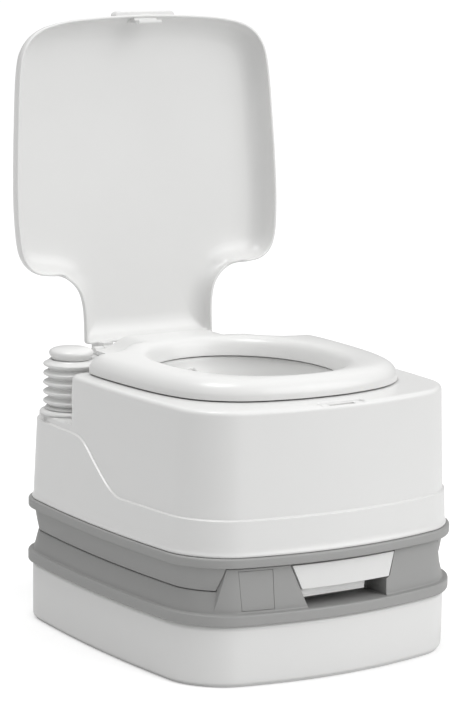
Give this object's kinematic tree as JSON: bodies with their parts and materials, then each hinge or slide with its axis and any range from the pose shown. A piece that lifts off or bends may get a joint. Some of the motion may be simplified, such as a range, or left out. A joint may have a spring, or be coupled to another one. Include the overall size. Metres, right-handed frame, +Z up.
{
  "type": "cassette toilet",
  "caption": "Portable cassette toilet: rounded flush-water casing with bowl, hinged seat and lid and a bellows pump, standing on a waste tank with slide valve, pull handle and pour-out spout.",
  "frame": {"origin": "on the floor under the middle of the two grey flanges, at the middle of the tank's flat underside", "axes": "+Z up; -Y to the front, where the pull handle is; +X to the right of someone who faces the front"},
  "size_m": [0.383, 0.4597, 0.6969],
  "materials": {
    "white_shell": "bright white moulded plastic, satin gloss",
    "grey_trim": "mid grey moulded plastic, fine satin texture",
    "dark_fitting": "dark grey moulded plastic",
    "seal_rubber": "soft black rubber",
    "hose": "milky flexible plastic",
    "steel": "bright stainless"
  },
  "bodies": {
    "waste_tank": {"tank_tub": "white_shell", "tank_top": "grey_trim", "gauge_plate": "grey_trim", "valve_base": "dark_fitting", "valve_cover": "dark_fitting", "lip_seal": "seal_rubber", "valve_screw_1": "steel", "valve_screw_2": "steel", "valve_screw_3": "steel", "valve_screw_4": "steel", "spout_bearing": "dark_fitting", "vent_guide": "dark_fitting", "vent_spring": "steel", "latch_guide": "dark_fitting"},
    "valve_slide": {"valve_blade": "dark_fitting", "pull_handle": "white_shell"},
    "spout_arm": {"pour_spout": "grey_trim"},
    "spout_closure": {"spout_cap": "dark_fitting", "spout_gasket": "seal_rubber"},
    "vent_plunger": {"vent_button": "dark_fitting"},
    "latch_bolt": {"latch_slider": "grey_trim"},
    "upper_section": {"flush_casing": "white_shell", "base_skirt": "grey_trim", "bowl": "white_shell", "hinge_pin_left": "steel", "hinge_pin_right": "steel", "pump_base": "white_shell", "dip_tube": "hose", "pump_bellows": "white_shell", "flush_hose": "hose", "flush_nozzle": "white_shell", "filler_neck": "white_shell", "latch_keeper": "dark_fitting", "seat_buffer_left": "seal_rubber", "seat_buffer_right": "seal_rubber"},
    "pump_top": {"pump_knob": "white_shell"},
    "filler_closure": {"filler_cap": "white_shell", "filler_gasket": "seal_rubber"},
    "seat_ring": {"seat": "white_shell"},
    "lid_cover": {"lid": "white_shell"}
  },
  "joints": [
    {"name": "lift_off", "type": "slide", "parent": "waste_tank", "child": "upper_section", "axis": [0, 0, 1], "range_m": [0, 0.25]},
    {"name": "lid_hinge", "type": "hinge", "parent": "upper_section", "child": "lid_cover", "pos_m": [0, 0.192, 0.302], "axis": [1, 0, 0], "range_deg": [0, 94]},
    {"name": "seat_hinge", "type": "hinge", "parent": "upper_section", "child": "seat_ring", "pos_m": [0, 0.192, 0.302], "axis": [1, 0, 0], "range_deg": [-92, 0]},
    {"name": "pump_press", "type": "slide", "parent": "upper_section", "child": "pump_top", "axis": [0, 0, -1], "range_m": [0, 0.035], "stiffness_N_per_m": 300, "springref_m": -0.01, "deforming": ["pump_bellows"]},
    {"name": "filler_cap_turn", "type": "hinge", "parent": "upper_section", "child": "filler_closure", "pos_m": [0.143, 0.143, 0.255], "axis": [0, 0, 1], "range_deg": [0, 120]},
    {"name": "valve_pull", "type": "slide", "parent": "waste_tank", "child": "valve_slide", "axis": [0, -1, 0], "range_m": [0, 0.097]},
    {"name": "spout_swing", "type": "hinge", "parent": "waste_tank", "child": "spout_arm", "pos_m": [0.072, 0.172, 0.1075], "axis": [0, 0, -1], "range_deg": [0, 95]},
    {"name": "spout_cap_turn", "type": "hinge", "parent": "spout_arm", "child": "spout_closure", "pos_m": [-0.07, 0.172, 0.1075], "axis": [-1, 0, 0], "range_deg": [0, 150]},
    {"name": "vent_press", "type": "slide", "parent": "waste_tank", "child": "vent_plunger", "axis": [0, 0, -1], "range_m": [0, 0.003], "stiffness_N_per_m": 400, "springref_m": -0.002, "deforming": ["vent_spring"]},
    {"name": "latch_slide", "type": "slide", "parent": "waste_tank", "child": "latch_bolt", "axis": [0, -1, 0], "range_m": [0, 0.01]}
  ]
}
